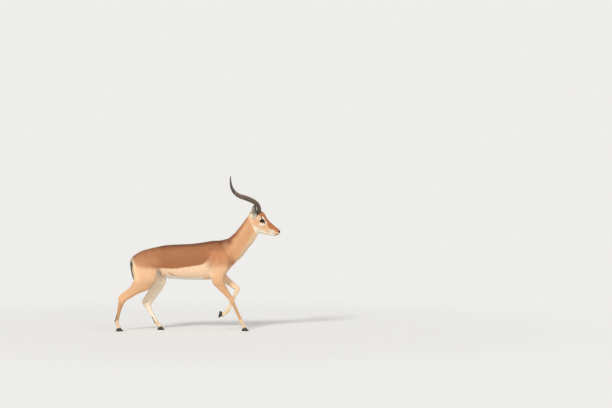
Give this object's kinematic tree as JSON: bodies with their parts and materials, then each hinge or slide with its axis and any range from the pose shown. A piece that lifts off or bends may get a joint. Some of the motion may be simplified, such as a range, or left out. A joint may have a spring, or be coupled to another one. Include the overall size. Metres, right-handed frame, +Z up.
{
  "type": "impala ram",
  "caption": "Life-size still impala ram with lyre horns, in a slow canter: three feet on the floor and the left forefoot lifted.",
  "frame": {"origin": "on the floor, under the middle of the bounding box", "axes": "+X towards the nose, +Y the animal's left, +Z up"},
  "size_m": [1.5738, 0.3244, 1.4705],
  "materials": {
    "saddle_coat": "short red-brown hair",
    "leg_coat": "short fawn hair",
    "face_coat": "very short tan hair",
    "ear_coat": "thin hair, pale inside",
    "tail_hair": "longer white hair with a dark middle stripe",
    "horn": "dull ringed horn",
    "hoof": "smooth black horn",
    "eye": "wet dark eye"
  },
  "bodies": {
    "root": {"head": "face_coat", "neck": "saddle_coat", "trunk": "saddle_coat", "tail": "tail_hair", "ear_left": "ear_coat", "ear_right": "ear_coat", "foreleg_left": "leg_coat", "foreleg_right": "leg_coat", "hindleg_left": "leg_coat", "hindleg_right": "leg_coat", "eye_left": "eye", "horn_left": "horn", "eye_right": "eye", "horn_right": "horn", "hoof_foreleg_left_inner": "hoof", "hoof_foreleg_left_outer": "hoof", "hoof_foreleg_right_inner": "hoof", "hoof_foreleg_right_outer": "hoof", "hoof_hindleg_left_inner": "hoof", "hoof_hindleg_left_outer": "hoof", "hoof_hindleg_right_inner": "hoof", "hoof_hindleg_right_outer": "hoof"}
  },
  "joints": []
}
